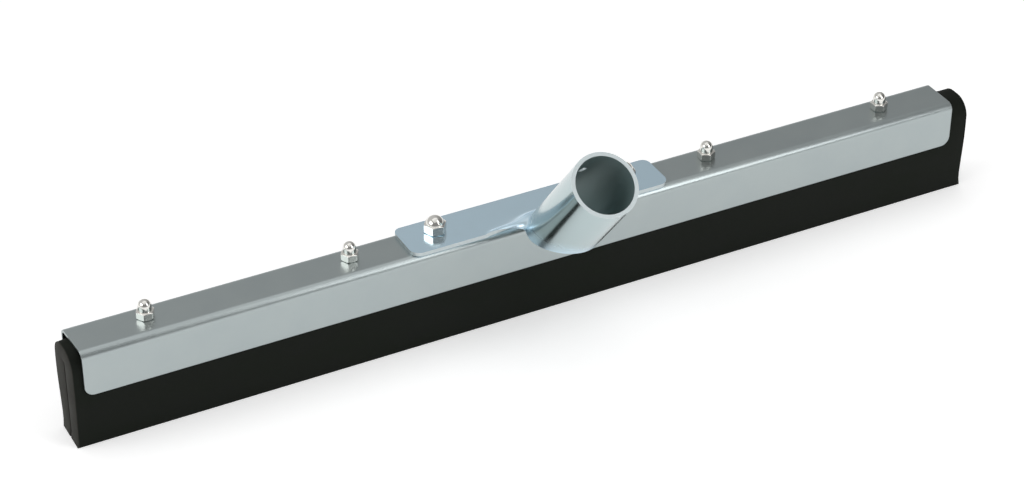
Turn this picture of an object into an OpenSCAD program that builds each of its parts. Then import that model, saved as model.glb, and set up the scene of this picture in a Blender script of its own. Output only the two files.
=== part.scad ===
// Floor squeegee: a steel channel that holds a folded rubber blade, with a handle socket on top.
// The blade stands on its two lips, X runs along it, and the socket leans to the front, -Y.
// The origin is at floor level, in the middle of the part's length and depth.

/* [Channel] */
// Length of the steel channel
channel_len = 480; // [460:10:900]
// Width of the channel over its flanges
channel_w = 25; // [25:0.5:32]
// Height of the flanges, the channel's top included
flange_h = 24.5; // [22:0.5:32]
// Sheet thickness of the channel
channel_t = 1.5; // [1:0.1:1.8]
// Outside radius of the channel's two bends
bend_r = 4; // [2.5:0.5:6]
// Rounding of the flanges' lower corners
flange_corner_r = 5; // [2:0.5:10]

/* [Rubber blade] */
// How far the blade runs past each end of the channel
blade_overhang = 8.5; // [4:0.5:30]
// Sideways offset of the blade in the channel
blade_shift = 3; // [0:0.5:4]
// Height of the lips below the flanges
lip_drop = 30; // [20:1:45]
// Width over both lips at their working edges
lip_w = 19.6; // [16:0.2:21]
// Rounding of the fold along its two shoulders
shoulder_r = 9; // [5:0.5:10]
// Rubber above the slit where the strip is folded
fold_t = 9; // [7:0.5:11]
// Rubber above the clamp bar, squeezed between bar and channel
pinch_t = 5; // [4:0.5:6.5]
// Width of the slit between the two lips
slit_w = 2; // [1:0.5:4]

/* [Clamp bar] */
// Width of the flat bar inside the fold
bar_w = 12; // [11:0.5:13]
// Thickness of the bar
bar_t = 3; // [2:0.5:4]
// How far each end of the bar stays inside the channel
bar_inset = 5; // [3:1:15]

/* [Clamp bolts] */
// Distance of the outer clamp bolts from the channel's ends
clamp_from_end = 36.75; // [20:0.25:60]
// Distance of the inner clamp bolts from the ends of a plate in the middle of the channel
clamp_from_plate = 28.25; // [12:0.25:50]
// Thread diameter of the clamp bolts
clamp_d = 5; // [4:0.5:6]
// Width across flats of their heads and nuts
clamp_af = 8; // [7:0.5:10]
// Height of their cap nuts
clamp_nut_h = 9.5; // [9:0.5:13]
// Diameter of the cap on those nuts
clamp_cap_d = 6.6; // [6:0.2:7.6]
// How far all bolts stand behind the channel's middle line
bolt_set_back = 2; // [0:0.25:2.5]

/* [Bracket bolts] */
// Distance of the bracket bolts from the ends of the plate
bracket_from_end = 18.25; // [10:0.25:24]
// Thread diameter of the bracket bolts
bracket_d = 6; // [5:0.5:6.5]
// Width across flats of their heads and nuts
bracket_af = 10; // [9:0.5:11]
// Height of their low cap nuts
bracket_nut_h = 8.5; // [8:0.5:15]
// Diameter of the cap on those nuts
bracket_cap_d = 9.5; // [8:0.25:9.5]

/* [Bracket] */
// Length of the bracket's plate
plate_len = 141.5; // [134:0.5:170]
// Sideways offset of the bracket and its two bolts on the channel
bracket_shift = -1; // [-5:0.5:5]
// How far the plate stays inside the channel's width at the front and the back
plate_inset = 0.25; // [0:0.25:2]
// Rounding of the plate's front corners
plate_corner_r = 5.5; // [1:0.5:8]
// Rounding of its rear corners
plate_rear_r = 2.5; // [1:0.5:8]
// Sheet thickness of the plate and of the socket
bracket_t = 2; // [1.5:0.1:2.5]

/* [Handle socket] */
// Bore of the socket, for a 28 mm handle
handle_bore = 29; // [24:0.5:32]
// Angle of the socket above the floor
socket_tilt = 51; // [46:1:62]
// Length of the socket along its axis, from the plate's top to the mouth
socket_len = 68; // [60:1:90]
// How far the socket's rear wall stands back from the plate's front edge
socket_lap = 5.5; // [4:0.5:8]
// Height of the socket's lower edge above the channel's top, below its side walls
heel_h = 3.8; // [3:0.2:5]
// The same at the very front
toe_h = 7.5; // [5:0.5:10]
// How far the pressed transition reaches out beside the socket
flare_side = 15.5; // [10:0.5:18]
// How far it reaches back behind the socket
flare_back = 4.5; // [3:0.5:7]
// Diameter of the hole for the handle's fixing screw
screw_hole_d = 4.5; // [3:0.5:6]
// Distance of that hole from the mouth
screw_hole_from_mouth = 17; // [10:1:30]

/* [Hidden] */
$fn = 64;

// Clearances between pieces
side_gap = 0.2;     // rubber to flange, and bar to rubber, on each side
bolt_gap = 0.25;    // bolt to its hole in steel, in radius
grip_gap = 0.1;     // bolt to its hole in the rubber, in radius
thread_gap = 0.05;  // bolt to the bore of its nut, in radius
head_room = 0.5;    // below the bolt heads in the fold
nut_end_gap = 1;    // bolt tip to the end of the nut's blind bore
cap_wall = 0.5;     // least wall of a cap nut round its bolt
cap_step = 0.2;     // least step from a nut's flats in to its cap
cut = 1;            // how far a cutting tool runs past what it cuts

// Heights above the floor
flange_z = lip_drop;
top_z = flange_z + flange_h;
fold_z = top_z - channel_t;
bar_top_z = fold_z - pinch_t;
bar_z = bar_top_z - bar_t;
plate_top_z = top_z + bracket_t;

// Rubber blade
blade_len = channel_len + 2 * blade_overhang;
blade_w = channel_w - 2 * channel_t - 2 * side_gap;

// Clamp bar and the pocket that it lies in
bar_len = channel_len - 2 * bar_inset;
clamp_head_h = 0.7 * clamp_d;
bracket_head_h = 0.7 * bracket_d;
pocket_w = max(bar_w, corners(bracket_af), corners(clamp_af)) + 2 * side_gap;
pocket_z = bar_z - max(clamp_head_h, bracket_head_h) - head_room;

// Bolt positions along the channel
clamp_outer = channel_len / 2 - clamp_from_end;
clamp_inner = plate_len / 2 + clamp_from_plate;
clamp_x = [-clamp_outer, -clamp_inner, clamp_inner, clamp_outer];
bracket_x = [for (side = [-1, 1]) bracket_shift + side * (plate_len / 2 - bracket_from_end)];

// Handle socket: its axis meets the plate's top at foot_y
socket_r = handle_bore / 2;
socket_od = handle_bore + 2 * bracket_t;
plate_w = channel_w - 2 * plate_inset;
foot_y = -plate_w / 2 + socket_lap - socket_od / 2 / sin(socket_tilt);
mouth_front = -foot_y + socket_len * cos(socket_tilt) + socket_od / 2 * sin(socket_tilt);

// Pressed transition from the plate to the socket
flare_x = socket_od / 2 + flare_side;
flare_y = socket_lap + flare_back;
flare_angle = 69;   // how far round the socket from its rear, to each side, the transition arrives
flare_rise = 3;     // how much higher it arrives at the rear than at the sides
flare_lap = 1.5;    // overlap with the plate
sunk = 0.04;        // how far its faces lie inside the faces of plate and socket

// From the middle of the channel to the middle of the whole part
shift_y = (mouth_front - channel_w / 2) / 2;

// Distance over the corners of a hexagon, from its width across flats
function corners(af) = af / cos(30);

// Puts a piece that is drawn on the channel's middle into the part's own frame
module in_frame() {
    translate([-blade_shift, shift_y, 0]) children();
}

// The same for the bar and the bolts, which are drawn on the line of the bolts
module on_bolt_line() {
    in_frame() translate([0, bolt_set_back, 0]) children();
}

// Extrudes a cross-section, drawn with Y as its first axis and Z as its second, along X
module along_x(length) {
    translate([-length / 2, 0, 0])
        rotate([90, 0, 90])
            linear_extrude(height = length) children();
}

// Straight hole upwards through everything between two heights, for a bolt
module hole_up(x, radius, from_z, to_z) {
    translate([x, bolt_set_back, from_z - cut]) cylinder(r = radius, h = to_z - from_z + 2 * cut);
}

// Folded strip with two rounded bends: the outside or the inside of the channel's section
module bent_section(width, top, radius, bottom) {
    flat = width / 2 - radius;
    translate([-flat, bottom]) square([2 * flat, top - bottom]);
    translate([-width / 2, bottom]) square([width, top - radius - bottom]);
    for (side = [-1, 1]) translate([side * flat, top - radius]) circle(r = radius);
}

// Side outline of the channel, with its flanges' lower corners rounded off
module flange_outline() {
    half = channel_len / 2;
    inner = half - flange_corner_r;
    translate([-half, flange_z + flange_corner_r]) square([channel_len, flange_h]);
    translate([-inner, flange_z]) square([2 * inner, flange_h]);
    for (side = [-1, 1]) translate([side * inner, flange_z + flange_corner_r]) circle(r = flange_corner_r);
}

// Steel channel, bent from one strip, open below and at both ends
module channel() {
    color([0.62, 0.66, 0.66]) in_frame() difference() {
        intersection() {
            difference() {
                along_x(channel_len) bent_section(channel_w, top_z, bend_r, flange_z);
                along_x(channel_len + 2 * cut)
                    bent_section(channel_w - 2 * channel_t, fold_z, bend_r - channel_t, flange_z - cut);
            }
            translate([0, channel_w, 0]) rotate([90, 0, 0])
                linear_extrude(height = 2 * channel_w) flange_outline();
        }
        for (x = clamp_x) hole_up(x, clamp_d / 2 + bolt_gap, fold_z, top_z);
        for (x = bracket_x) hole_up(x, bracket_d / 2 + bolt_gap, fold_z, top_z);
    }
}

// Outside of the rubber: full width in the channel, drawn in towards the two lips
module blade_section() {
    bent_section(blade_w, fold_z, shoulder_r, flange_z);
    polygon([[-blade_w / 2, flange_z], [-lip_w / 2, 0], [lip_w / 2, 0], [blade_w / 2, flange_z]]);
}

// Slit between the lips, round at its top where the strip folds over
module slit_section() {
    slit_top = fold_z - fold_t - slit_w / 2;
    translate([-slit_w / 2, -cut]) square([slit_w, slit_top + cut]);
    translate([0, slit_top]) circle(d = slit_w);
}

// One strip of rubber, folded over the clamp bar, with a working lip at each side of the slit
module rubber_blade() {
    color([0.13, 0.13, 0.12]) in_frame() difference() {
        translate([blade_shift, 0, 0]) along_x(blade_len) blade_section();
        translate([blade_shift, 0, 0]) along_x(blade_len + 2 * cut) slit_section();
        along_x(bar_len + 2 * side_gap)
            translate([bolt_set_back - pocket_w / 2, pocket_z]) square([pocket_w, bar_top_z - pocket_z]);
        for (x = clamp_x) hole_up(x, clamp_d / 2 + grip_gap, bar_top_z, fold_z);
        for (x = bracket_x) hole_up(x, bracket_d / 2 + grip_gap, bar_top_z, fold_z);
    }
}

// Flat bar that pulls the fold up against the channel
module clamp_bar() {
    half = bar_len / 2 - bar_w / 2;
    color([0.55, 0.56, 0.56]) in_frame() difference() {
        translate([0, bolt_set_back, bar_z]) linear_extrude(height = bar_t) {
            square([2 * half, bar_w], center = true);
            for (side = [-1, 1]) translate([side * half, 0]) circle(d = bar_w);
        }
        for (x = clamp_x) hole_up(x, clamp_d / 2 + bolt_gap, bar_z, bar_top_z);
        for (x = bracket_x) hole_up(x, bracket_d / 2 + bolt_gap, bar_z, bar_top_z);
    }
}

// Solid of revolution that takes the corners off a hexagon, at its base or at its top as well
module corner_turning(af, height, top_too) {
    bevel = 0.06 * af;
    radius = corners(af) / 2;
    rotate_extrude() polygon([
        [0, 0], [radius - 2 * bevel, 0], [radius, bevel],
        [radius, height - (top_too ? bevel : 0)], [radius - (top_too ? 2 * bevel : 0), height], [0, height]
    ]);
}

// Hexagon with turned corners, standing on its base
module hexagon(af, height, top_too) {
    intersection() {
        cylinder(d = corners(af), h = height, $fn = 6);
        corner_turning(af, height, top_too);
    }
}

// Hexagon bolt, head down, its bearing face at height 0 and its tip at `length`
module bolt(d, af, head_h, length) {
    tip = 0.12 * d;
    translate([0, 0, -head_h]) hexagon(af, head_h, false);
    rotate_extrude() polygon([
        [0, -head_h / 2], [d / 2, -head_h / 2], [d / 2, length - tip], [d / 2 - tip, length], [0, length]
    ]);
}

// Cap nut: a hexagon and a round cap, on a collar where it stands higher, over a blind bore
module cap_nut(d, af, height, cap) {
    cap_d = min(af - 2 * cap_step, max(cap, d + 2 * cap_wall));
    hex_h = af / 2;
    cap_z = height - cap_d / 2;
    bore_h = nut_bore(height, d);
    difference() {
        union() {
            hexagon(af, hex_h, true);
            cylinder(d = cap_d, h = cap_z);
            translate([0, 0, cap_z]) sphere(d = cap_d);
        }
        translate([0, 0, -cut]) cylinder(r = d / 2 + thread_gap, h = bore_h + cut);
    }
}

// Depth of a cap nut's blind bore, which leaves a wall over the bolt's tip
function nut_bore(height, d) = height - 0.45 * d;

// Length of a bolt from the clamp bar's underside to its tip, for a nut that stands at seat_z
function bolt_len(seat_z, nut_h, d) = seat_z - bar_z + nut_bore(nut_h, d) - nut_end_gap;

module clamp_bolt(i) {
    color([0.6, 0.6, 0.6]) on_bolt_line() translate([clamp_x[i], 0, bar_z])
        bolt(clamp_d, clamp_af, clamp_head_h, bolt_len(top_z, clamp_nut_h, clamp_d));
}

module clamp_nut(i) {
    color([0.85, 0.84, 0.82]) on_bolt_line() translate([clamp_x[i], 0, top_z])
        cap_nut(clamp_d, clamp_af, clamp_nut_h, clamp_cap_d);
}

module bracket_bolt(i) {
    color([0.6, 0.6, 0.6]) on_bolt_line() translate([bracket_x[i], 0, bar_z])
        bolt(bracket_d, bracket_af, bracket_head_h, bolt_len(plate_top_z, bracket_nut_h, bracket_d));
}

module bracket_nut(i) {
    color([0.85, 0.84, 0.82]) on_bolt_line() translate([bracket_x[i], 0, plate_top_z])
        cap_nut(bracket_d, bracket_af, bracket_nut_h, bracket_cap_d);
}

// Outline of one half of the plate, from its middle line to one long edge, with that edge's corners rounded
module plate_half(side, radius) {
    half_x = plate_len / 2 - radius;
    half_y = plate_w / 2 - radius;
    scale([1, side]) {
        translate([-plate_len / 2, 0]) square([plate_len, half_y]);
        translate([-half_x, 0]) square([2 * half_x, plate_w / 2]);
        for (x = [-half_x, half_x]) translate([x, half_y]) circle(r = radius);
    }
}

// Flat plate of the bracket, with two bolt holes and the opening for the socket
module bracket_plate() {
    difference() {
        translate([0, 0, top_z]) linear_extrude(height = bracket_t) {
            plate_half(-1, plate_corner_r);
            plate_half(1, plate_rear_r);
        }
        for (x = bracket_x) hole_up(x - bracket_shift, bracket_d / 2 + bolt_gap, top_z, plate_top_z);
        translate([0, 0, top_z - cut]) linear_extrude(height = bracket_t + 2 * cut) flare_opening();
    }
}

// Opening in the plate where the sheet rises into the socket, open to the plate's front edge
module flare_opening() {
    reach = (flare_x - flare_lap) / flare_x;
    depth = (flare_y - flare_lap) / flare_y;
    front = -plate_w / 2;
    polygon(concat(
        [for (i = [-12 : 12]) [reach * flare_from(i / 12)[0], front + depth * (flare_from(i / 12)[1] - front)]],
        [[reach * flare_x, front - cut], [-reach * flare_x, front - cut]]
    ));
}

// Puts a shape whose +Z is the socket's axis at the foot of that axis; its +Y then faces up and back
module on_socket_axis() {
    translate([0, foot_y, plate_top_z]) rotate([90 - socket_tilt, 0, 0]) children();
}

// Space under the socket: level below its side walls, then rising to the toe at the front
module space_below_socket() {
    low = top_z - socket_len;
    level_y = foot_y - socket_r / 8;
    toe_y = foot_y - socket_od / 2 / sin(socket_tilt) - (toe_h - bracket_t) / tan(socket_tilt);
    slope = (toe_h - heel_h) / (level_y - toe_y);
    far_y = -mouth_front - cut;
    along_x(2 * socket_od) polygon([
        [plate_w, low], [plate_w, top_z + heel_h], [level_y, top_z + heel_h],
        [far_y, top_z + heel_h + slope * (level_y - far_y)], [far_y, low]
    ]);
}

// Tube that takes the handle: open at the mouth and below
module socket_tube() {
    deep = socket_od / tan(socket_tilt);
    difference() {
        on_socket_axis() difference() {
            translate([0, 0, -deep]) cylinder(d = socket_od, h = deep + socket_len);
            translate([0, 0, -deep - cut]) cylinder(r = socket_r, h = deep + socket_len + 2 * cut);
            translate([0, 0, socket_len - screw_hole_from_mouth])
                rotate([-90, 0, 0]) cylinder(d = screw_hole_d, h = socket_od);
        }
        space_below_socket();
    }
}

// Transition from the plate to the socket, pressed out of the same sheet.
// s runs across it, from -1 to 1, and t runs up it, from 0 on the plate to 1 on the socket's wall.
// Each line up the sheet is a cubic: it leaves along the plate and arrives along the wall.
function flare_from(s) =
    [flare_x * sin(90 * s), flare_y * cos(90 * s) - plate_w / 2, top_z + bracket_t / 2];
function flare_to(s) =
    let (
        a = flare_angle * s,
        r = (socket_r + socket_od / 2) / 2,
        axis_z = top_z + heel_h + flare_rise * (0.1 + cos(90 * s)) - r * cos(a) * cos(socket_tilt)
    )
    [0, foot_y - (axis_z - plate_top_z) / tan(socket_tilt), axis_z] + r * wall_normal(a);

// Along the socket, and outwards from its axis at an angle from its rear
function along_wall() = [0, -cos(socket_tilt), sin(socket_tilt)];
function wall_normal(a) = [sin(a), cos(a) * sin(socket_tilt), cos(a) * cos(socket_tilt)];

// Direction at the plate: straight in from the rim. At the wall: along the socket in the middle, and
// turning towards level at the two sides, where the sheet's front edge runs into the socket's lower edge.
function dir_from(s) = [-sin(90 * s), -cos(90 * s), 0];
function dir_to(s) =
    let (
        a = flare_angle * s,
        turn = atan(tan(socket_tilt) / sin(flare_angle)) * pow(abs(s), 1.5) * sign(s),
        around = [cos(a), -sin(a) * sin(socket_tilt), -sin(a) * cos(socket_tilt)]
    )
    cos(turn) * along_wall() + sin(turn) * around;

function flare_mid(s, t) =
    let (
        span = norm(flare_to(s) - flare_from(s)),
        pull_from = span * (1 + 0.45 * s * s),
        pull_to = span * (0.85 + 0.4 * s * s)
    )
    (2 * t * t * t - 3 * t * t + 1) * flare_from(s) + (t * t * t - 2 * t * t + t) * pull_from * dir_from(s)
    + (3 * t * t - 2 * t * t * t) * flare_to(s) + (t * t * t - t * t) * pull_to * dir_to(s);

function flare_normal(s, t) =
    let (
        e = 0.01,
        n = cross(flare_mid(s, t + e) - flare_mid(s, t - e), flare_mid(s + e, t) - flare_mid(s - e, t))
    )
    n / norm(n);

module socket_flare() {
    rows = 28;
    steps = 12;
    n = steps + 1;
    // The sheet's two sides draw together where it ends inside the socket's wall
    function half(t) = (bracket_t / 2 - sunk) * (1 - 3 * pow(max(0, t - 0.6), 2));
    function side(k) = [
        for (i = [0 : rows]) for (j = [0 : steps])
            let (s = 2 * i / rows - 1, t = j / steps, wall = flare_angle * s)
                flare_mid(s, t) + k * half(t) * (j < steps ? flare_normal(s, t) : wall_normal(wall))
    ];
    lower = (rows + 1) * n;
    rim = concat(
        [for (j = [0 : steps]) j],
        [for (i = [1 : rows]) i * n + steps],
        [for (j = [steps - 1 : -1 : 0]) rows * n + j],
        [for (i = [rows - 1 : -1 : 1]) i * n]
    );
    faces = concat(
        [for (i = [0 : rows - 1]) for (j = [0 : steps - 1]) let (a = i * n + j)
            each [[a, a + n + 1, a + 1], [a, a + n, a + n + 1]]],
        [for (i = [0 : rows - 1]) for (j = [0 : steps - 1]) let (a = lower + i * n + j)
            each [[a, a + 1, a + n + 1], [a, a + n + 1, a + n]]],
        [for (k = [0 : len(rim) - 1]) let (a = rim[k], b = rim[(k + 1) % len(rim)])
            each [[a, lower + b, lower + a], [a, b, lower + b]]]
    );
    polyhedron(points = concat(side(1), side(-1)), faces = faces);
}

// Bracket: plate and socket in one pressing of zinc-plated sheet
module socket_bracket() {
    color([0.58, 0.67, 0.71]) in_frame() translate([bracket_shift, 0, 0]) {
        bracket_plate();
        socket_tube();
        socket_flare();
    }
}

channel();
rubber_blade();
clamp_bar();
socket_bracket();
clamp_bolt(0);  // clamp_bolt_1
clamp_bolt(1);  // clamp_bolt_2
clamp_bolt(2);  // clamp_bolt_3
clamp_bolt(3);  // clamp_bolt_4
clamp_nut(0);  // clamp_nut_1
clamp_nut(1);  // clamp_nut_2
clamp_nut(2);  // clamp_nut_3
clamp_nut(3);  // clamp_nut_4
bracket_bolt(0);  // bracket_bolt_left
bracket_bolt(1);  // bracket_bolt_right
bracket_nut(0);  // bracket_nut_left
bracket_nut(1);  // bracket_nut_right
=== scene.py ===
import math

import bmesh
import bpy
from mathutils import Matrix, Vector


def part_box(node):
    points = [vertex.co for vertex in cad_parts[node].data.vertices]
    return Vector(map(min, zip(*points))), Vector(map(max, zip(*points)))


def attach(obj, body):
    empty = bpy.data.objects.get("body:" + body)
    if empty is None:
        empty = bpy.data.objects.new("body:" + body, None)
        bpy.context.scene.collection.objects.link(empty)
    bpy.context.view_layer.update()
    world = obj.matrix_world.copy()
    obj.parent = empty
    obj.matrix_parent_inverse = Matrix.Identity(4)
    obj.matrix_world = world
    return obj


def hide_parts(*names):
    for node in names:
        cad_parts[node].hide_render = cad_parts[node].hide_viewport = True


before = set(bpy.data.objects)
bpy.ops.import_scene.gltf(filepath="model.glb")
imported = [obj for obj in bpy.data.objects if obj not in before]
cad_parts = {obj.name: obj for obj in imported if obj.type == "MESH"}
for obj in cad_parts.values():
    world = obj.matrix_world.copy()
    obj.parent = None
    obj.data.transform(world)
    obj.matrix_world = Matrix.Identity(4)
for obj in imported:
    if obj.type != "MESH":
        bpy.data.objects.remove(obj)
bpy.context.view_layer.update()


# ---- Channel ----
# The long inverted trough that carries everything: one strip of thin steel, folded along two bends on a press
# brake. Its lower corners are cut round and its left end a little askew. It is zinc-plated to a satin grey,
# with faint lines from rolling along its length.

MM = 0.001


class Reading:
    """One output of a node, so that the rule for a shape or a finish can be written as plain arithmetic."""

    def __init__(self, bench, socket):
        self.bench, self.socket = bench, socket

    def _math(self, operation, a, b=0.0):
        return self.bench.node("ShaderNodeMath", {"operation": operation}, {0: a, 1: b})

    def __add__(self, other): return self._math("ADD", self, other)
    def __radd__(self, other): return self._math("ADD", other, self)
    def __sub__(self, other): return self._math("SUBTRACT", self, other)
    def __rsub__(self, other): return self._math("SUBTRACT", other, self)
    def __mul__(self, other): return self._math("MULTIPLY", self, other)
    def __rmul__(self, other): return self._math("MULTIPLY", other, self)
    def __truediv__(self, other): return self._math("DIVIDE", self, other)
    def __mod__(self, other): return self._math("FLOORED_MODULO", self, other)
    def __pow__(self, other): return self._math("POWER", self, other)
    def __abs__(self): return self._math("ABSOLUTE", self)
    def least(self, other): return self._math("MINIMUM", self, other)
    def most(self, other): return self._math("MAXIMUM", self, other)
    def sign(self): return self._math("SIGN", self)
    def sine(self): return self._math("SINE", self)
    def cosine(self): return self._math("COSINE", self)
    def root(self): return self._math("SQRT", self)
    def floor(self): return self._math("FLOOR", self)


class Bench:
    """Adds nodes to one tree, for a shape or for a finish."""

    def __init__(self, tree):
        self.tree = tree

    def node(self, kind, settings=None, sockets=None, output=0):
        made = self.tree.nodes.new(kind)
        for key, value in (settings or {}).items():
            setattr(made, key, value)
        for key, value in (sockets or {}).items():
            if isinstance(value, Reading):
                self.tree.links.new(value.socket, made.inputs[key])
            else:
                made.inputs[key].default_value = value
        return Reading(self, made.outputs[output])

    def part(self, vector, index):
        return self.node("ShaderNodeSeparateXYZ", sockets={0: vector}, output=index)

    def point(self, x, y, z):
        return self.node("ShaderNodeCombineXYZ", sockets={0: x, 1: y, 2: z})

    def mix(self, share, first, second):
        return self.node("ShaderNodeMix", {"data_type": "RGBA"}, {0: share, 6: first, 7: second}, output=2)


class Rule(Bench):
    """A Geometry Nodes tree that shapes a piece from named sizes, in metres."""

    def __init__(self, name, **sizes):
        super().__init__(bpy.data.node_groups.new(name, "GeometryNodeTree"))
        face = self.tree.interface
        face.new_socket("Geometry", in_out="INPUT", socket_type="NodeSocketGeometry")
        face.new_socket("Geometry", in_out="OUTPUT", socket_type="NodeSocketGeometry")
        for size, value in sizes.items():
            kind = "NodeSocketInt" if isinstance(value, int) else "NodeSocketFloat"
            face.new_socket(size, in_out="INPUT", socket_type=kind).default_value = value
        face.new_socket("finish", in_out="INPUT", socket_type="NodeSocketMaterial")
        self.entry = self.tree.nodes.new("NodeGroupInput")

    def size(self, name):
        return Reading(self, self.entry.outputs[name])

    def close(self, geometry):
        """Ends the tree with real, smooth-shaded faces in the piece's finish."""
        real = self.node("GeometryNodeRealizeInstances", sockets={"Geometry": geometry})
        smooth_faces = self.node("GeometryNodeSetShadeSmooth", sockets={"Geometry": real})
        dressed = self.node("GeometryNodeSetMaterial",
                            sockets={"Geometry": smooth_faces, "Material": self.size("finish")})
        self.tree.links.new(dressed.socket, self.tree.nodes.new("NodeGroupOutput").inputs[0])
        return self


class Finish(Bench):
    """A metal, rubber or paper finish on a Principled shader."""

    def __init__(self, name, **constants):
        self.material = bpy.data.materials.new(name)
        self.material.use_nodes = True
        super().__init__(self.material.node_tree)
        self.shader = self.tree.nodes["Principled BSDF"]
        for socket, value in constants.items():
            self.shader.inputs[socket.replace("_", " ")].default_value = value

    def place(self, stretch=(1, 1, 1)):
        """The piece's own coordinates in metres, stretched along each axis."""
        own = self.node("ShaderNodeTexCoord", output="Object")
        return self.node("ShaderNodeVectorMath", {"operation": "MULTIPLY"}, {0: own, 1: stretch})

    def noise(self, stretch=(1, 1, 1), scale=1.0, detail=3.0, roughness=0.5):
        return self.node("ShaderNodeTexNoise", sockets={
            "Vector": self.place(stretch), "Scale": scale, "Detail": detail, "Roughness": roughness})

    def ramp(self, value, low, high):
        """0 below low, 1 above high, smooth between."""
        return self.node("ShaderNodeMapRange", {"interpolation_type": "SMOOTHSTEP"},
                         {"Value": value, "From Min": low, "From Max": high})

    def feed(self, **inputs):
        for socket, value in inputs.items():
            self.tree.links.new(value.socket, self.shader.inputs[socket.replace("_", " ")])

    def relief(self, height, distance, strength):
        self.feed(Normal=self.node("ShaderNodeBump", sockets={
            "Height": height, "Distance": distance, "Strength": strength}))

    def on(self, *objects):
        for o in objects:
            o.data.materials.clear()
            o.data.materials.append(self.material)


def shaped(name, start, rule=None, finish=None, sizes=None, steps=()):
    """A piece made from a start mesh, a rule and finishing modifiers, with the result as its plain mesh."""
    piece = bpy.data.objects.new(name, start)
    bpy.context.scene.collection.objects.link(piece)
    if rule:
        modifier = piece.modifiers.new("rule", "NODES")
        modifier.node_group = rule.tree
        values = {"finish": finish.material, **sizes}
        for item in rule.tree.interface.items_tree:
            if item.in_out == "INPUT" and item.name in values:
                modifier[item.identifier] = values[item.name]
    for kind, settings in steps:
        modifier = piece.modifiers.new(kind, kind)
        for key, value in settings.items():
            setattr(modifier, key, value)
    bpy.context.view_layer.update()
    made = bpy.data.meshes.new_from_object(piece.evaluated_get(bpy.context.evaluated_depsgraph_get()))
    piece.modifiers.clear()
    piece.data = made
    bpy.data.meshes.remove(start)
    if rule:
        finish.on(piece)            # a grid made in a tree brings an empty slot with it
    return piece


def thickened(sheet, rim_slot=0):
    """The step that gives a middle surface its thickness, with its rims in a material slot of their own."""
    return [("SOLIDIFY", {"thickness": sheet, "offset": 0.0, "use_even_offset": True,
                          "material_offset_rim": rim_slot})]


def broken_edges(width, segments=2, from_degrees=50):
    """The steps that round every edge sharper than an angle."""
    return [("BEVEL", {"width": width, "segments": segments, "limit_method": "ANGLE",
                       "angle_limit": math.radians(from_degrees)}),
            ("WEIGHTED_NORMAL", {"keep_sharp": True})]


channel_low, channel_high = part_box("channel")
channel_len = channel_high.x - channel_low.x
channel_width = channel_high.y - channel_low.y
channel_x = (channel_low.x + channel_high.x) / 2
channel_y = (channel_low.y + channel_high.y) / 2
channel_sheet = 1.5 * MM
bend_radius = 4 * MM
flange_corner = 5 * MM
left_end_askew = 1.1 * MM
channel_edge = 0.25 * MM

channel_zinc = Finish("channel_zinc", Metallic=1.0)
satin_low, satin_high = (0.41, 0.46, 0.465, 1), (0.43, 0.48, 0.48, 1)
rolled = channel_zinc.noise(stretch=(6, 900, 900), detail=4.0)
smudges = channel_zinc.noise(scale=38.0, detail=4.0, roughness=0.6)
scuffs = channel_zinc.noise(stretch=(1, 3, 1), scale=240.0, detail=6.0, roughness=0.7)
channel_zinc.feed(
    Base_Color=channel_zinc.mix(channel_zinc.ramp(smudges, 0.3, 0.7), satin_low, satin_high),
    Roughness=(0.26 + 0.05 * rolled + 0.05 * channel_zinc.ramp(smudges, 0.35, 0.75)
               + 0.03 * channel_zinc.ramp(scuffs, 0.6, 0.72)))
channel_zinc.relief(rolled, distance=0.005 * MM, strength=0.15)


def bending_rule():
    """Folds a flat strip down along two bends, rounds its lower corners and lets its left end run askew."""
    rule = Rule("bent_sheet", length=0.4, width=0.02, top=0.05, bottom=0.03, bend=0.003, corner=0.004,
                askew=0.0, middle_x=0.0, middle_y=0.0, stations=10, rows=10)
    length, width, top, bottom, bend, corner = (
        rule.size(name) for name in ("length", "width", "top", "bottom", "bend", "corner"))
    quarter = math.pi / 2
    flat = width / 2 - bend
    straight = top - bottom - bend
    blank = rule.node("GeometryNodeMeshGrid", sockets={
        "Size X": length, "Size Y": 2 * (flat + straight) + math.pi * bend,
        "Vertices X": rule.size("stations"), "Vertices Y": rule.size("rows")})
    place = rule.node("GeometryNodeInputPosition")
    along, across = rule.part(place, 0), rule.part(place, 1)
    reach = abs(across)
    turned = ((reach - flat) / bend).most(0.0).least(quarter)
    y = across.sign() * (reach.least(flat) + bend * turned.sine())
    z = top - bend * (1.0 - turned.cosine()) - (reach - flat - bend * quarter).most(0.0)
    into_corner = (corner - (z - bottom)).most(0.0)
    end_at = length / 2 - corner + (corner ** 2 - into_corner ** 2).most(0.0).root()
    leftward = ((0.0 - along) * 2.0 / length).most(0.0)
    rearward = y / width + 0.5
    x = (along.sign() * abs(along).least(end_at) + rule.size("middle_x")
         - rule.size("askew") * leftward * rearward)
    return rule.close(rule.node("GeometryNodeSetPosition", sockets={
        "Geometry": blank, "Position": rule.point(x, y + rule.size("middle_y"), z)}))


channel = shaped(
    "channel_sheet", bpy.data.meshes.new("channel_blank"), bending_rule(), channel_zinc,
    {"length": channel_len, "width": channel_width - channel_sheet,
     "top": channel_high.z - channel_sheet / 2, "bottom": channel_low.z,
     "bend": bend_radius - channel_sheet / 2, "corner": flange_corner, "askew": left_end_askew,
     "middle_x": channel_x, "middle_y": channel_y, "stations": 49, "rows": 141},
    thickened(channel_sheet) + broken_edges(channel_edge))
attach(channel, "root")
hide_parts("channel")


# ---- Rubber blade ----
# One thick strip of black rubber, folded over into two lips that hang side by side below the flanges.
# It is matt and cut to length. Where the channel no longer grips it, at both ends, the fold swells a little.
# The cut ends are greyer than the faces, and the right one isn't quite square.

blade_low, blade_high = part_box("rubber_blade")
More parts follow.
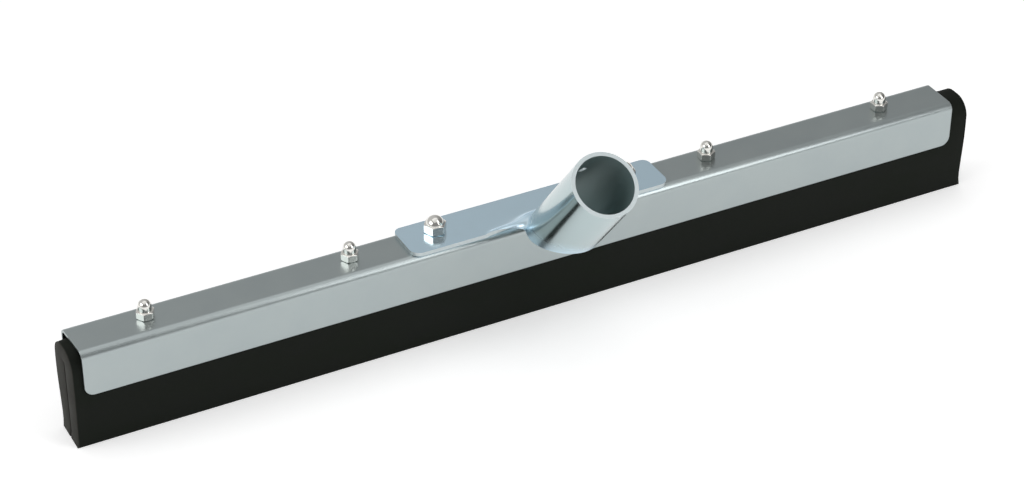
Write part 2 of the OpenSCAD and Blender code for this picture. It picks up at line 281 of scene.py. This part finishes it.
# Millimetres. Reach is measured from the middle of the slit to the outside.
lip_reach, fold_reach, flange_level = 9.8, 10.8, 30.0
slit_half, fold_thickness, shoulder = 1.0, 9.0, 9.0
loosening = 5                       # from the channel's end to where the fold is fully loose
swell_rear, swell_front = 1.6, 0.5  # at the height where the fold swells most
swell_foot, swell_full = 4, 34      # heights between which the swelling grows
fold_start, fold_full = 38, 53      # heights between which it shrinks again, to the share that the fold keeps
fold_keeps = 0.3
slit_closing = 0.4                  # share of the slit that closes where the fold is loose
droop, droop_from, droop_full = 0.8, 40, 52
end_round = 0.9                     # how far the edges of the cut ends are drawn in, but for the lowest few
square_foot = 6
right_lean, right_in, lean_height = 1.0, 0.7, 40    # the right end leans out towards the floor
blade_edge = 0.3 * MM
sawn_from, sawn_to = 1.2 * MM, 0.6 * MM


def folded_strip():
    """The blade's section as pairs of points, on the slit and outside, from the rear lip to the front lip."""
    top = blade_high.z / MM
    bend_z = top - shoulder
    slit_z = top - fold_thickness - slit_half
    straight_steps, bend_steps = 10, 8
    half = []
    for i in range(straight_steps):
        share = i / straight_steps
        z = bend_z * share
        reach = min(fold_reach, lip_reach + (fold_reach - lip_reach) * z / flange_level)
        half.append(((slit_half, slit_z * share), (reach, z)))
    for i in range(bend_steps + 1):
        outer = math.radians(90 * i / bend_steps)
        inner = math.radians(180 * i / (2 * bend_steps + 1))
        half.append((
            (slit_half * math.cos(inner), slit_z + slit_half * math.sin(inner)),
            (fold_reach - shoulder + shoulder * math.cos(outer), bend_z + shoulder * math.sin(outer))))
    return half + [tuple((-y, z) for y, z in pair) for pair in reversed(half)]


def smooth(value, start, end):
    """0 at the start, 1 at the end, smooth between."""
    share = min(1.0, max(0.0, (value - start) / (end - start)))
    return share * share * (3 - 2 * share)


def blade_point(x, inner, outer, share, at_left, at_right):
    """A point between slit and outside: swollen where the channel has ended, and drawn in at the cut ends."""
    outside = max(0.0, channel_low.x / MM - x, x - channel_high.x / MM)
    loose = smooth(outside, 0, loosening)
    y = inner[0] + (outer[0] - inner[0]) * share
    z = inner[1] + (outer[1] - inner[1]) * share
    hump = smooth(z, swell_foot, swell_full) * (1 - (1 - fold_keeps) * smooth(z, fold_start, fold_full))
    y += loose * hump * share * (swell_rear if y > 0 else -swell_front)
    y -= loose * slit_closing * (1 - share) * inner[0]
    z -= loose * share * droop * smooth(z, droop_from, droop_full)
    if at_left or at_right:
        outer_edge = share ** 5 * (1.0 if y < 0 else 0.5)
        slit_edge = (1 - share) ** 8 * 0.8
        recess = end_round * (outer_edge + slit_edge) * smooth(z, 0, square_foot)
        x += recess if at_left else -recess
    if at_right:
        x += right_lean * (1 - smooth(z, 0, lean_height)) - right_in
    return x * MM, y * MM + channel_y, z * MM


def blade_mesh():
    """A closed skin of quads over stations along, points round the section and layers through it."""
    section = folded_strip()
    layers = (0.0, 0.12, 0.35, 0.65, 0.88, 1.0)
    near_end = (0, 0.7, 1.6, 3, 4.5, 6, 8, 11, 16, 30)
    gripped_from, gripped_steps = 80, 6
    left, right = blade_low.x / MM, blade_high.x / MM
    stations = [left + d for d in near_end]
    stations += [left + gripped_from + i * (right - left - 2 * gripped_from) / gripped_steps
                 for i in range(gripped_steps + 1)]
    stations += [right - d for d in reversed(near_end)]
    last_k, last_i, last_j = len(stations) - 1, len(section) - 1, len(layers) - 1
    vertices, faces, place = [], [], {}
    for k, x in enumerate(stations):
        for i, (inner, outer) in enumerate(section):
            for j, share in enumerate(layers):
                if k in (0, last_k) or i in (0, last_i) or j in (0, last_j):
                    place[k, i, j] = len(vertices)
                    vertices.append(blade_point(x, inner, outer, share, k == 0, k == last_k))

    def skin(*corners):
        faces.append([place[corner] for corner in corners])

    for k in range(last_k):
        for i in range(last_i):
            for j in (0, last_j):
                skin((k, i, j), (k + 1, i, j), (k + 1, i + 1, j), (k, i + 1, j))
        for i in (0, last_i):
            for j in range(last_j):
                skin((k, i, j), (k, i, j + 1), (k + 1, i, j + 1), (k + 1, i, j))
    for k in (0, last_k):
        for i in range(last_i):
            for j in range(last_j):
                skin((k, i, j), (k, i + 1, j), (k, i + 1, j + 1), (k, i, j + 1))
    mesh = bpy.data.meshes.new("rubber_fold")
    mesh.from_pydata(vertices, [], faces)
    return mesh


def outward(mesh):
    """Turns all faces of a closed mesh outwards and shades them smooth."""
    work = bmesh.new()
    work.from_mesh(mesh)
    bmesh.ops.remove_doubles(work, verts=work.verts, dist=1e-7)
    bmesh.ops.recalc_face_normals(work, faces=work.faces)
    for face in work.faces:
        face.smooth = True
    work.to_mesh(mesh)
    work.free()
    return mesh


blade_rubber = Finish("blade_rubber", Metallic=0.0, Specular_IOR_Level=0.15)
black_low, black_high = (0.006, 0.008, 0.0055, 1), (0.009, 0.012, 0.008, 1)
sawn_grey = (0.034, 0.034, 0.029, 1)
grain = blade_rubber.noise(scale=900.0, detail=4.0, roughness=0.6)
bloom = blade_rubber.ramp(
    blade_rubber.noise(stretch=(1, 2, 2), scale=30.0, detail=5.0, roughness=0.6), 0.35, 0.75)
blade_half, blade_x = (blade_high.x - blade_low.x) / 2, (blade_low.x + blade_high.x) / 2
sawn = blade_rubber.ramp(abs(blade_rubber.part(blade_rubber.place(), 0) - blade_x),
                         blade_half - sawn_from, blade_half - sawn_to)
saw_marks = blade_rubber.noise(stretch=(1, 400, 30))
blade_rubber.feed(
    Base_Color=blade_rubber.mix(sawn, blade_rubber.mix(bloom, black_low, black_high), sawn_grey),
    Roughness=0.62 + 0.12 * bloom + 0.1 * grain)
blade_rubber.relief(grain + 2.0 * sawn * saw_marks, distance=0.04 * MM, strength=0.5)

blade = shaped("rubber_fold", outward(blade_mesh()), steps=broken_edges(blade_edge))
blade_rubber.on(blade)
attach(blade, "root")
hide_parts("rubber_blade")


# ---- Clamp bar and bolts ----
# Flat mild-steel bar inside the fold and the six hexagon bolts through it, dull zinc-plated.
# The bolts pull the bar, and the rubber above it, up against the channel.

inner_steel = Finish("inner_steel", Metallic=1.0)
dull_low, dull_high = (0.35, 0.36, 0.36, 1), (0.5, 0.5, 0.49, 1)
dulling = inner_steel.noise(scale=300.0, detail=4.0)
inner_steel.feed(Base_Color=inner_steel.mix(dulling, dull_low, dull_high), Roughness=0.35 + 0.2 * dulling)
inner_steel.on(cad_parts["clamp_bar"], *(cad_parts[f"clamp_bolt_{i}"] for i in (1, 2, 3, 4)),
               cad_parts["bracket_bolt_left"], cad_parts["bracket_bolt_right"])


# ---- Handle socket bracket ----
# Plate and slanted round socket in one pressing of thicker sheet, bolted on top of the channel. Its zinc
# plating is glossier than the channel's, blue on the plate and greyer towards the socket's mouth. It is a
# little rougher where the sheet was drawn from plate to tube, and its cut edges are dull.

# Millimetres, with x and y from the middle of the plate
bracket_sheet = 2.0
plate_length, plate_width = 141.5, 24.5
plate_front_corner, plate_rear_corner = 5.5, 4.0
plate_middle_z = channel_high.z / MM + bracket_sheet / 2
plate_high_z = plate_middle_z + bracket_sheet / 2
plate_low_z = plate_middle_z - bracket_sheet / 2
bracket_x, bracket_y = -4.0, channel_y / MM
bore_radius, socket_length = 14.5, 68.0
socket_radius = bore_radius + bracket_sheet / 2
socket_tilt = math.radians(51)
socket_lap = 5.5                    # from the plate's front edge back to the front of the wall's ellipse
socket_foot_y = -plate_width / 2 + socket_lap - (socket_radius + bracket_sheet / 2) / math.sin(socket_tilt)
heel, toe = 3.8, 7.5                # heights of the socket's lower edge, at the sides and in front
cheek, crown = 5, 3                 # how much higher the drawn sheet climbs at its cheeks and behind the tube
flare_x, flare_y, flare_angle = 32.0, 10.0, math.radians(69)
screw_hole, screw_hole_down = 2.25, 17.0
bracket_edge = 0.4
along_wall = Vector((0, -math.cos(socket_tilt), math.sin(socket_tilt)))


def on_wall(a, up):
    """A point of the socket's wall, at an angle from its rear and a distance along its axis."""
    off_wall = Vector((math.sin(a), math.cos(a) * math.sin(socket_tilt), math.cos(a) * math.cos(socket_tilt)))
    return Vector((0, socket_foot_y, plate_high_z)) + up * along_wall + socket_radius * off_wall


def up_at_height(a, z):
    """How far along the axis the wall reaches a height."""
    return (z - on_wall(a, 0).z) / along_wall.z


def head_z(s):
    """Height where the drawn sheet has become the socket's wall. s is -1 and 1 at the flare's two ends."""
    return plate_low_z + heel + crown * (0.1 + math.cos(s * math.pi / 2)) + cheek * s * s * (1 - s ** 8)


def flare(s, t):
    """The drawn sheet, which leaves along the plate at t = 0 and arrives along the socket's wall at t = 1."""
    a, q = flare_angle * s, s * math.pi / 2
    foot = Vector((flare_x * math.sin(q), flare_y * math.cos(q) - plate_width / 2, plate_middle_z))
    head = on_wall(a, up_at_height(a, head_z(s)))
    turn = math.atan(math.tan(socket_tilt) / math.sin(flare_angle)) * math.copysign(abs(s) ** 1.5, s)
    around = Vector((math.cos(a), -math.sin(a) * math.sin(socket_tilt), -math.sin(a) * math.cos(socket_tilt)))
    lift = s ** 8                   # only at the very ends, where the sheet's front edge turns up at once
    leave = Vector((-math.sin(q), -math.cos(q), 0.45 * lift)).normalized()
    arrive = math.cos(turn) * along_wall + math.sin(turn) * around
    span = (head - foot).length
    foot_pull = span * (1 + 0.45 * s * s - 0.85 * lift)
    head_pull = span * (0.85 + 0.4 * s * s)
    return ((2 * t**3 - 3 * t**2 + 1) * foot + (t**3 - 2 * t**2 + t) * foot_pull * leave
            + (3 * t**2 - 2 * t**3) * head + (t**3 - t**2) * head_pull * arrive)


def lower_edge(a):
    """How far up the axis the socket's wall begins: at the flare, and in front of it on a slanted cut."""
    if abs(a) <= flare_angle + 1e-6:
        return up_at_height(a, head_z(a / flare_angle))
    level_y = socket_foot_y - bore_radius / 8
    toe_y = (socket_foot_y - (socket_radius + bracket_sheet / 2) / math.sin(socket_tilt)
             - (toe - bracket_sheet) / math.tan(socket_tilt))
    slope = (toe - heel) / (level_y - toe_y)
    up = 0.0
    for _ in range(40):             # closes in on where the wall and the slanted cut meet
        z = plate_low_z + heel + slope * max(0.0, level_y - on_wall(a, up).y)
        up += 0.5 * (up_at_height(a, z) - up)
    return up


def plate_outline():
    """The plate's edge from the flare's right end round by the rear to its left end."""
    corner_steps = 10
    outline = []
    for turn, (mx, my, r) in enumerate(((1, -1, plate_front_corner), (1, 1, plate_rear_corner),
                                        (-1, 1, plate_rear_corner), (-1, -1, plate_front_corner))):
        for i in range(corner_steps + 1):
            a = math.radians(90 * (turn - 1) + 90 / corner_steps * i)
            outline.append(Vector((mx * (plate_length / 2 - r) + r * math.cos(a),
                                   my * (plate_width / 2 - r) + r * math.sin(a), plate_middle_z)))
    return outline


def open_hole(wall, middle, row):
    """Bends the wall's grid around the screw hole, and names the cells that fall away."""
    block, ring_step = 3, 0.8       # cells from the hole's middle to its edge, and width of each ring beyond
    centre_up = wall[middle][row][1]
    around = range(-2 * block, 2 * block + 1)
    for di, dj in ((di, dj) for di in around for dj in around if di or dj):
        a, up = wall[middle + di][row + dj]
        dx, dy = a * socket_radius, up - centre_up
        past = max(0, max(abs(di), abs(dj)) - block)
        keep = past / (block + 0.5)
        factor = (screw_hole + past * ring_step) / math.hypot(dx, dy) * (1 - keep) + keep
        wall[middle + di][row + dj] = (a * factor, centre_up + dy * factor)
    return {(middle + di, row + dj) for di in range(-block, block) for dj in range(-block, block)}


def bracket_middle():
    """The sheet's middle surface, in one piece from the plate's outline to the socket's mouth."""
    flare_columns, flare_rows, front_columns = 56, 20, 92
    low_rows, high_rows, split = 8, 60, 24.0
    work = bmesh.new()

    def point(v):
        return work.verts.new(((v.x + bracket_x) * MM, (v.y + bracket_y) * MM, v.z * MM))

    def patch(grid, skip=()):
        for i in range(len(grid) - 1):
            for j in range(len(grid[i]) - 1):
                if (i, j) not in skip:
                    work.faces.new((grid[i][j], grid[i + 1][j], grid[i + 1][j + 1], grid[i][j + 1]))

    shares = [2 * i / flare_columns - 1 for i in range(flare_columns + 1)]
    rising = [[point(flare(s, j / flare_rows)) for j in range(flare_rows + 1)] for s in shares]
    patch(rising)
    work.faces.new([column[0] for column in rising] + [point(v) for v in plate_outline()])

    front = math.tau - 2 * flare_angle
    angles = [flare_angle * s for s in shares]
    angles += [flare_angle + front * i / front_columns for i in range(1, front_columns)]
    wall = []
    for a in angles:
        low = lower_edge((a + math.pi) % math.tau - math.pi)
        ups = [low + (split - low) * j / low_rows for j in range(low_rows)]
        ups += [split + (socket_length - split) * j / high_rows for j in range(high_rows + 1)]
        wall.append([(a, up) for up in ups])
    hole_share = (socket_length - screw_hole_down - split) / (socket_length - split)
    hole = open_hole(wall, flare_columns // 2, low_rows + round(hole_share * high_rows))
    tube = [[point(on_wall(a, up)) for a, up in column] for column in wall]
    patch(tube + [tube[0]], hole)

    bmesh.ops.delete(work, geom=[v for v in work.verts if not v.link_faces], context="VERTS")
    bmesh.ops.remove_doubles(work, verts=work.verts, dist=0.02 * MM)
    bmesh.ops.recalc_face_normals(work, faces=work.faces)
    for face in work.faces:
        face.smooth = True
    mesh = bpy.data.meshes.new("bracket_middle")
    work.to_mesh(mesh)
    work.free()
    return mesh


cut_edge = Finish("cut_edge", Metallic=1.0)
sheared_low, sheared_high = (0.52, 0.58, 0.59, 1), (0.64, 0.70, 0.71, 1)
sheared = cut_edge.noise(stretch=(600, 600, 60))
cut_edge.feed(Base_Color=cut_edge.mix(sheared, sheared_low, sheared_high), Roughness=0.42 + 0.15 * sheared)
cut_edge.relief(sheared, distance=0.02 * MM, strength=0.4)

bracket_zinc = Finish("bracket_zinc")
plate_blue, tube_grey, bore_grey = (0.67, 0.86, 0.98, 1), (0.50, 0.60, 0.61, 1), (0.20, 0.28, 0.28, 1)
height = bracket_zinc.part(bracket_zinc.place(), 2)
clouds = bracket_zinc.noise(scale=45.0, detail=4.0, roughness=0.55)
greyed = bracket_zinc.ramp(height + 12 * MM * clouds, 62 * MM, 78 * MM)
wiped = bracket_zinc.ramp(
    bracket_zinc.noise(stretch=(1, 1, 0.3), scale=160.0, detail=5.0, roughness=0.65), 0.55, 0.75)
from_foot = bracket_zinc.node("ShaderNodeVectorMath", {"operation": "SUBTRACT"}, {
    0: bracket_zinc.place(), 1: (bracket_x * MM, (bracket_y + socket_foot_y) * MM, plate_high_z * MM)})
across_axis = bracket_zinc.node("ShaderNodeVectorMath", {"operation": "CROSS_PRODUCT"},
                                {0: from_foot, 1: along_wall})
off_axis = bracket_zinc.node("ShaderNodeVectorMath", {"operation": "LENGTH"}, {0: across_axis}, output=1)
inside = bracket_zinc.ramp(off_axis, (bore_radius + 0.4) * MM, (bore_radius + 0.1) * MM)
drawn = (bracket_zinc.ramp(height, (plate_high_z + 0.3) * MM, (plate_high_z + 2) * MM)
         * bracket_zinc.ramp(height, 72 * MM, 62 * MM))
bracket_zinc.feed(
    Base_Color=bracket_zinc.mix(inside, bracket_zinc.mix(greyed, plate_blue, tube_grey), bore_grey),
    Roughness=0.12 + 0.08 * clouds + 0.08 * wiped + 0.3 * inside + 0.14 * drawn,
    Metallic=1.0 - 0.55 * inside)

pressing = bracket_middle()
pressing.materials.append(bracket_zinc.material)
pressing.materials.append(cut_edge.material)
bracket = shaped(
    "bracket_pressing", pressing,
    steps=thickened(bracket_sheet * MM, rim_slot=1) + broken_edges(bracket_edge * MM, segments=3))
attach(bracket, "root")
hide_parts("socket_bracket")


# ---- Cap nuts ----
# Four small and two larger cap nuts, turned from hexagon bar and nickel-plated to a polish.
# They close the upper ends of the bolts, and each has stopped at its own turn when it was tightened.

nut_nickel = Finish("nut_nickel", Metallic=1.0)
nickel_low, nickel_high = (0.78, 0.77, 0.72, 1), (0.86, 0.85, 0.82, 1)
touched = nut_nickel.noise(scale=500.0, detail=4.0)
nut_nickel.feed(Base_Color=nut_nickel.mix(touched, nickel_low, nickel_high), Roughness=0.07 + 0.1 * touched)


def cap_nut_rule():
    """Turns a section into a nut with six flats, and seats one on each bolt of a row at a turn of its own."""
    rule = Rule("cap_nuts", flats=0.008, hexagon_height=0.004, seat=0.05, row_x=0.0, row_y=0.0,
                far=0.2, near=0.1, near_count=2, around=72, seed=0)
    section = rule.size("Geometry")
    spot = rule.node("GeometryNodeInputPosition")
    points = rule.node("GeometryNodeAttributeDomainSize", {"component": "MESH"}, {"Geometry": section})
    lathe = rule.node("GeometryNodeMeshGrid", sockets={
        "Size X": 1.0, "Size Y": 1.0, "Vertices X": rule.size("around") + 1, "Vertices Y": points})
    turn = (rule.part(spot, 0) + 0.5) * math.tau
    step = (rule.part(spot, 1) + 0.5) * (points - 1) + 0.5
    traced = rule.node("GeometryNodeSampleIndex", {"data_type": "FLOAT_VECTOR"}, {
        "Geometry": section, "Value": spot, "Index": step.floor()})
    radius, level = rule.part(traced, 0), rule.part(traced, 2)
    flat_radius = rule.size("flats") / 2 / (turn % math.radians(60) - math.radians(30)).cosine()
    kept_radius = radius.least(flat_radius)
    kept_level = level + (level - rule.size("hexagon_height") / 2).sign() * (radius - kept_radius) / 2
    turned = rule.node("GeometryNodeSetPosition", sockets={
        "Geometry": lathe,
        "Position": rule.point(kept_radius * turn.cosine(), kept_radius * turn.sine(), kept_level)})
    nut = rule.node("GeometryNodeMergeByDistance", sockets={"Geometry": turned, "Distance": 1e-6})

    seats = rule.tree.nodes.new("GeometryNodeJoinGeometry")
    for reach, count in ((rule.size("far"), 2), (rule.size("near"), rule.size("near_count"))):
        pair = rule.node("GeometryNodeMeshLine", {"mode": "END_POINTS", "count_mode": "TOTAL"}, {
            "Count": count,
            "Start Location": rule.point(rule.size("row_x") - reach, rule.size("row_y"), rule.size("seat")),
            "Offset": rule.point(rule.size("row_x") + reach, rule.size("row_y"), rule.size("seat"))})
        rule.tree.links.new(pair.socket, seats.inputs[0])
    tightened = rule.node("FunctionNodeRandomValue", {"data_type": "FLOAT"}, {
        2: math.radians(-30), 3: math.radians(30), "Seed": rule.size("seed")}, output=1)
    return rule.close(rule.node("GeometryNodeInstanceOnPoints", sockets={
        "Points": Reading(rule, seats.outputs[0]), "Instance": nut,
        "Rotation": rule.node("FunctionNodeAxisAngleToRotation", sockets={"Angle": tightened})}))


def nut_section(flats, total, cap, bolt):
    """Half of a cap nut's section, from the end of its blind bore, down, out and up to the top of its cap."""
    thread_gap, roof = 0.05, 0.45 * bolt
    bore, bore_end = bolt / 2 + thread_gap, total - roof
    corner = flats / math.sqrt(3)
    hexagon, bevel = flats / 2, 0.06 * flats
    line = [(0, bore_end), (bore, bore_end), (bore, 0), (corner - 2 * bevel, 0), (corner, bevel),
            (corner, hexagon - bevel), (corner - 2 * bevel, hexagon), (cap / 2, hexagon)]
    ball, ball_steps = total - cap / 2, 12
    for i in range(ball_steps + 1):
        a = math.radians(90 / ball_steps * i)
        line.append((cap / 2 * math.cos(a), ball + cap / 2 * math.sin(a)))
    mesh = bpy.data.meshes.new("nut_section")
    mesh.from_pydata([(r * MM, 0, z * MM) for r, z in line], [(i, i + 1) for i in range(len(line) - 1)], [])
    return mesh


small_flats, large_flats = 8, 10
sharp_from = 35
clamp_row_x, clamp_far, clamp_near, bracket_far = -3, 203.25, 99, 52.5
nut_low, nut_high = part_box("clamp_nut_1")
cap_nuts = cap_nut_rule()
shared = {"row_y": (nut_low.y + nut_high.y) / 2, "around": 72}
nut_edge = broken_edges(0.12 * MM, from_degrees=25)
clamp_nuts = shaped(
    "clamp_cap_nuts", nut_section(small_flats, total=9.5, cap=6.6, bolt=5), cap_nuts, nut_nickel,
    {"flats": small_flats * MM, "hexagon_height": small_flats / 2 * MM, "seat": channel_high.z,
     "row_x": clamp_row_x * MM, "far": clamp_far * MM, "near": clamp_near * MM, "near_count": 2,
     "seed": 20956, **shared},
    nut_edge)
bracket_nuts = shaped(
    "bracket_cap_nuts", nut_section(large_flats, total=8.5, cap=9.5, bolt=6), cap_nuts, nut_nickel,
    {"flats": large_flats * MM, "hexagon_height": large_flats / 2 * MM,
     "seat": channel_high.z + bracket_sheet * MM, "row_x": bracket_x * MM, "far": bracket_far * MM,
     "near": 0.0, "near_count": 0, "seed": 100, **shared},
    nut_edge)
for nuts, names in ((clamp_nuts, [f"clamp_nut_{i}" for i in (1, 2, 3, 4)]),
                    (bracket_nuts, ["bracket_nut_left", "bracket_nut_right"])):
    outward(nuts.data)
    nuts.data.set_sharp_from_angle(angle=math.radians(sharp_from))
    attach(nuts, "root")
    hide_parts(*names)


# ---- Floor, light and camera ----
# A white floor among dim walls that are lighter at the left and behind, with a bright backdrop low down all
# round. Two small softboxes at the front right light the bends and the mouth, a wide one at the left lights
# the nuts, and a ceiling lamp the floor. The camera stands where the photograph was taken from.

reach = 8
floor_mesh = bpy.data.meshes.new("floor")
floor_mesh.from_pydata([(-reach, -reach, 0), (reach, -reach, 0), (reach, reach, 0), (-reach, reach, 0)],
                       [], [(0, 1, 2, 3)])
floor = bpy.data.objects.new("floor", floor_mesh)
bpy.context.scene.collection.objects.link(floor)
floor_paper = Finish("floor_paper", Roughness=0.9, Emission_Strength=1.0)
lit_paper, white, no_glow = (0.8, 0.8, 0.8, 1), (1, 1, 1, 1), (0, 0, 0, 1)
mirrored_glow, seen_glow = (0.28, 0.28, 0.28, 1), (0.36, 0.36, 0.36, 1)
seen = floor_paper.node("ShaderNodeLightPath", output="Is Camera Ray")
mirrored = floor_paper.node("ShaderNodeLightPath", output="Is Glossy Ray")
floor_paper.feed(
    Base_Color=floor_paper.mix(seen.most(mirrored), lit_paper, white),
    Emission_Color=floor_paper.mix(seen, floor_paper.mix(mirrored, no_glow, mirrored_glow), seen_glow))
floor_paper.on(floor)

world = bpy.data.worlds.new("studio")
bpy.context.scene.world = world
world.use_nodes = True
room = Bench(world.node_tree)
toward = room.node("ShaderNodeTexCoord", output="Generated")
right, back, up = (room.part(toward, axis) for axis in range(3))
from_left = (0.65 - 0.45 * right).most(0.12).least(0.56)
from_behind = 0.45 + 0.55 * ((back + 0.4) / 0.6).most(0.0).least(1.0)
backdrop = (1.0 - up / 0.2).most(0.0).least(1.0)
level = backdrop * 0.95 + (1.0 - backdrop) * (from_left * from_behind)
glow = room.node("ShaderNodeCombineColor", sockets={0: level, 1: level, 2: level})
shown = room.mix(room.node("ShaderNodeLightPath", output="Is Camera Ray"), glow, white)
world.node_tree.links.new(shown.socket, world.node_tree.nodes["Background"].inputs["Color"])

aimed_at = Vector((0, 0, 0.05))
for name, place, width, tall, watts in (("softbox_right", (0.43, -0.70, 0.58), 0.40, 0.6, 2.1),
                                        ("softbox_top", (0.36, -0.42, 1.0), 0.34, 0.34, 0.42),
                                        ("softbox_left", (-1.2, 0.0, 0.8), 1.1, 0.7, 4.6),
                                        ("ceiling", (0.0, -0.2, 2.2), 2.4, 2.4, 9.0)):
    lamp = bpy.data.lights.new(name, "AREA")
    lamp.shape = "RECTANGLE"
    lamp.size, lamp.size_y = width, tall
    lamp.energy = watts
    softbox = bpy.data.objects.new(name, lamp)
    softbox.location = place
    softbox.rotation_euler = (Vector(place) - aimed_at).to_track_quat("Z", "Y").to_euler()
    bpy.context.scene.collection.objects.link(softbox)

lens = bpy.data.cameras.new("camera")
lens.sensor_width = 36
lens.lens = 97.29
camera = bpy.data.objects.new("camera", lens)
camera.matrix_world = Matrix((
    (0.88776133, 0.25759497, -0.38147694, -0.53745271),
    (-0.46029286, 0.50257724, -0.7318105, -0.9657747),
    (0.00321092, 0.82526417, 0.56473776, 0.80574549),
    (0, 0, 0, 1),
))
bpy.context.scene.collection.objects.link(camera)
bpy.context.scene.camera = camera
bpy.context.scene.view_settings.view_transform = "Standard"
